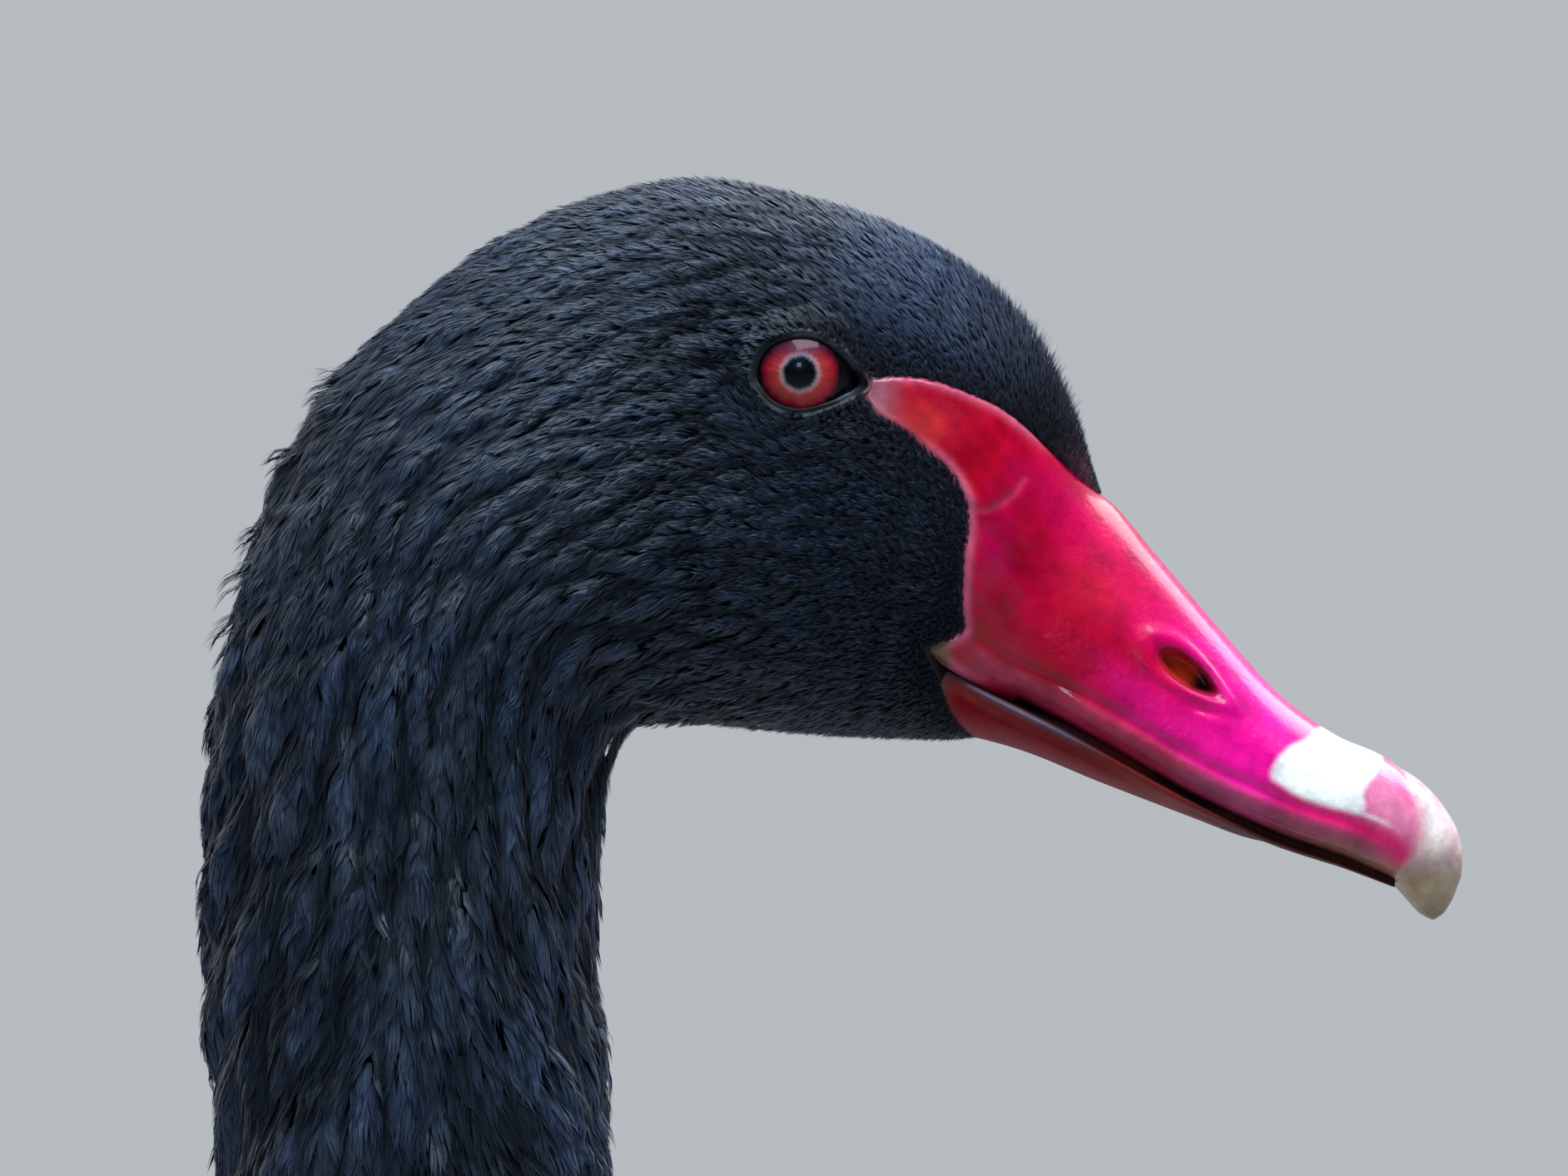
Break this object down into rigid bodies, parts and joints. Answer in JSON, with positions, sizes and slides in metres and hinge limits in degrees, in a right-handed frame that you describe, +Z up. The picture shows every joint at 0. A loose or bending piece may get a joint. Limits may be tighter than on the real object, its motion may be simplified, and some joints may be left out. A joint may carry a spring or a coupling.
{
  "type": "black swan",
  "caption": "Life-size still model of an adult black swan, standing with its neck raised, red bill with a pale band and nail, red eyes and ruffled wing plumes.",
  "frame": {"origin": "on the floor, under the middle of the bird's length, in its middle plane", "axes": "+X forward, the way the bill points; +Y the bird's left; +Z up"},
  "size_m": [0.73, 0.2414, 0.9],
  "materials": {
    "black_feather": "soft sheen of feathers",
    "white_feather": "matte feathers",
    "bill": "waxy gloss horn",
    "lower_bill": "waxy gloss horn",
    "nail": "polished horn",
    "eye": "wet gloss",
    "leg": "scaled skin",
    "claw": "satin horn"
  },
  "bodies": {
    "root": {"head": "black_feather", "neck_1": "black_feather", "neck_2": "black_feather", "neck_3": "black_feather", "neck_4": "black_feather", "trunk": "black_feather", "tail": "black_feather", "wing_left": "black_feather", "tertials_left": "black_feather", "shin_left": "black_feather", "primaries_left": "white_feather", "shank_left": "leg", "foot_left": "leg", "claw_left_inner": "claw", "claw_left_middle": "claw", "claw_left_outer": "claw", "claw_left_hind": "claw", "eye_left": "eye", "wing_right": "black_feather", "tertials_right": "black_feather", "shin_right": "black_feather", "primaries_right": "white_feather", "shank_right": "leg", "foot_right": "leg", "claw_right_inner": "claw", "claw_right_middle": "claw", "claw_right_outer": "claw", "claw_right_hind": "claw", "eye_right": "eye", "bill_upper": "bill", "bill_lower": "lower_bill", "bill_nail": "nail"}
  },
  "joints": []
}
